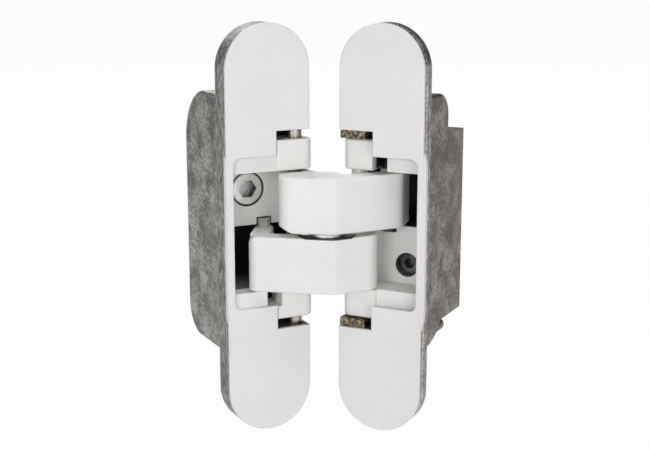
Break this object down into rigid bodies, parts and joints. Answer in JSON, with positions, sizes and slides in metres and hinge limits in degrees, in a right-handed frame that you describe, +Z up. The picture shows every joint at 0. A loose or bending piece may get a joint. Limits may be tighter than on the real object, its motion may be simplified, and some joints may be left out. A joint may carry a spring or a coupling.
{
  "type": "concealed door hinge",
  "caption": "Concealed door hinge, part open: white pill-shaped cover plates over raw zinc mortise bodies, joined by crossing bent arms on adjustable carriages.",
  "frame": {"origin": "centre of the jamb leaf's flange seat, midway between its two fixing holes", "axes": "+Z up along the hinge, +Y into the jamb mortise, +X from the jamb leaf to the door leaf"},
  "size_m": [0.0756, 0.0612, 0.12],
  "materials": {
    "white_coat": "satin white powder coat on a zinc casting",
    "raw_zinc": "raw die-cast zinc, mottled",
    "bright_steel": "ground steel",
    "plated_screw": "bright zinc plate",
    "dark_screw": "black oxide",
    "bearing_plastic": "moulded acetal"
  },
  "bodies": {
    "jamb_leaf": {"jamb_mortise_body": "raw_zinc", "jamb_cover_plate": "white_coat"},
    "jamb_carriage": {"jamb_carriage": "white_coat", "jamb_pivot_pin": "bright_steel", "jamb_clamp_nut": "bright_steel"},
    "jamb_clamp_screw": {"jamb_clamp_screw": "plated_screw"},
    "upper_arm": {"upper_arm": "white_coat", "upper_arm_bushes": "bearing_plastic", "upper_guide_pin": "bright_steel", "upper_guide_sleeves": "bearing_plastic", "centre_pin": "bright_steel", "centre_washer": "bright_steel"},
    "lower_arm": {"lower_arm": "white_coat", "lower_arm_bushes": "bearing_plastic", "centre_bushes": "bearing_plastic", "lower_guide_pin": "bright_steel", "lower_guide_sleeves": "bearing_plastic"},
    "door_carriage": {"door_carriage": "white_coat", "door_pivot_pin": "bright_steel"},
    "door_adjust_screw": {"door_adjust_screw": "dark_screw", "door_adjust_clip": "dark_screw"},
    "door_leaf": {"door_mortise_body": "raw_zinc", "door_cover_plate": "white_coat"}
  },
  "joints": [
    {"name": "height_slide", "type": "slide", "parent": "jamb_leaf", "child": "jamb_carriage", "axis": [0, 0, 1], "range_m": [-0.0025, 0.0025]},
    {"name": "clamp_screw_turn", "type": "hinge", "parent": "jamb_carriage", "child": "jamb_clamp_screw", "pos_m": [-0.002, 0.0034, 0.0111], "axis": [0, -1, 0], "range_deg": [0, 360]},
    {"name": "hinge_swing", "type": "hinge", "parent": "jamb_carriage", "child": "upper_arm", "pos_m": [0.01, -0.003, 0], "axis": [0, 0, 1], "range_deg": [-74.88, 31.25]},
    {"name": "centre_turn", "type": "hinge", "parent": "upper_arm", "child": "lower_arm", "pos_m": [0.01482, -0.01507, 0], "axis": [0, 0, 1], "range_deg": [-9.5, 22.77]},
    {"name": "door_turn", "type": "hinge", "parent": "lower_arm", "child": "door_carriage", "pos_m": [0.02736, -0.01166, 0], "axis": [0, 0, 1], "range_deg": [-74.89, 31.26]},
    {"name": "depth_slide", "type": "slide", "parent": "door_carriage", "child": "door_leaf", "axis": [0.7986, 0.6018, 0], "range_m": [-0.001, 0.001]},
    {"name": "adjust_screw_turn", "type": "hinge", "parent": "door_carriage", "child": "door_adjust_screw", "pos_m": [0.04014, -0.01799, -0.0119], "axis": [0.7986, 0.6018, 0], "range_deg": [-360, 360]}
  ],
  "couplings": [
    {"joint": "centre_turn", "follows": "hinge_swing", "ratio": -0.30396},
    {"joint": "door_turn", "follows": "hinge_swing", "ratio": 1},
    {"joint": "adjust_screw_turn", "follows": "depth_slide", "rad_per_m": -6283.2}
  ]
}
